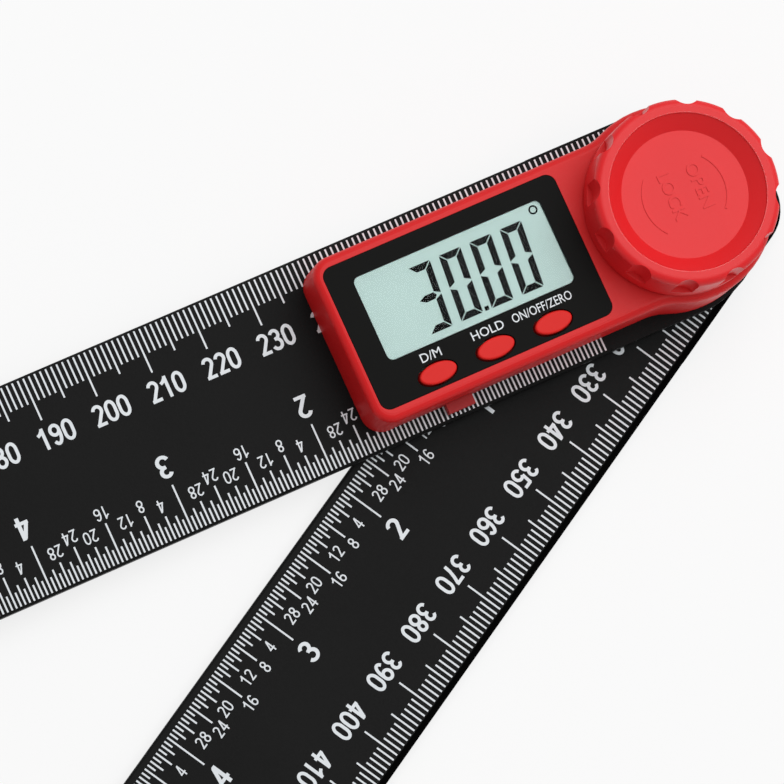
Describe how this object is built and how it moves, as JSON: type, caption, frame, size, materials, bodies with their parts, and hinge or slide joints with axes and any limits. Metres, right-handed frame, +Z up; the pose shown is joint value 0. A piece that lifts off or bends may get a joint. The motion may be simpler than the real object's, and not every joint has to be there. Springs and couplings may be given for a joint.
{
  "type": "digital angle gauge",
  "caption": "Folding digital angle ruler: flat scale blades on one pivot, a display housing with buttons on the upper blade and a notched lock knob above the pivot.",
  "frame": {"origin": "the pivot axis at the underside of the lower blade, where the gauge lies on the table", "axes": "+Z up along the pivot axis, the upper blade runs along -X with its outer edge towards +Y, and the lower blade lies 30 degrees round from it"},
  "size_m": [0.321, 0.1821, 0.0271],
  "materials": {
    "blade_plastic": "satin moulded",
    "red_plastic": "satin moulded",
    "button_red": "satin moulded",
    "panel_black": "satin printed sheet",
    "clear_window": "polished",
    "lcd": "grey-green display",
    "board": "solder mask",
    "chip": "moulded",
    "flex": "polyimide film",
    "rubber": "silicone",
    "white_nylon": "plain",
    "steel": "turned",
    "brass": "turned"
  },
  "bodies": {
    "display_leg": {"upper_blade": "blade_plastic", "pivot_bush": "brass", "housing_shell": "red_plastic", "blade_screws": "steel", "circuit_board": "board", "processor_chip": "chip", "board_components": "steel", "dome_switches": "steel", "board_screws": "steel", "stator_disc": "board", "encoder_flex": "flex", "lcd_frame": "chip", "zebra_strips": "rubber", "lcd_panel": "lcd", "face_panel": "panel_black", "display_window": "clear_window", "negative_contact": "brass", "positive_contact": "brass", "knob_washer": "steel"},
    "swing_leg": {"lower_blade": "blade_plastic", "pivot_bolt": "steel", "friction_washer": "white_nylon", "rotor_disc": "brass"},
    "knob": {"lock_knob": "red_plastic", "knob_insert": "brass"},
    "mode_key": {"mode_button": "button_red"},
    "hold_key": {"hold_button": "button_red"},
    "zero_key": {"zero_button": "button_red"},
    "battery_drawer": {"battery_tray": "red_plastic", "coin_cell": "steel"}
  },
  "joints": [
    {"name": "blade_swing", "type": "hinge", "parent": "display_leg", "child": "swing_leg", "pos_m": [0, 0, 0], "axis": [0, 0, 1], "continuous": true},
    {"name": "knob_turn", "type": "hinge", "parent": "swing_leg", "child": "knob", "pos_m": [0, 0, 0.02], "axis": [0, 0, 1], "range_deg": [0, 180]},
    {"name": "mode_press", "type": "slide", "parent": "display_leg", "child": "mode_key", "axis": [0, 0, -1], "range_m": [0, 0.0005], "stiffness_N_per_m": 2000},
    {"name": "hold_press", "type": "slide", "parent": "display_leg", "child": "hold_key", "axis": [0, 0, -1], "range_m": [0, 0.0005], "stiffness_N_per_m": 2000},
    {"name": "zero_press", "type": "slide", "parent": "display_leg", "child": "zero_key", "axis": [0, 0, -1], "range_m": [0, 0.0005], "stiffness_N_per_m": 2000},
    {"name": "tray_slide", "type": "slide", "parent": "display_leg", "child": "battery_drawer", "axis": [0, -1, 0], "range_m": [0, 0.021]}
  ]
}
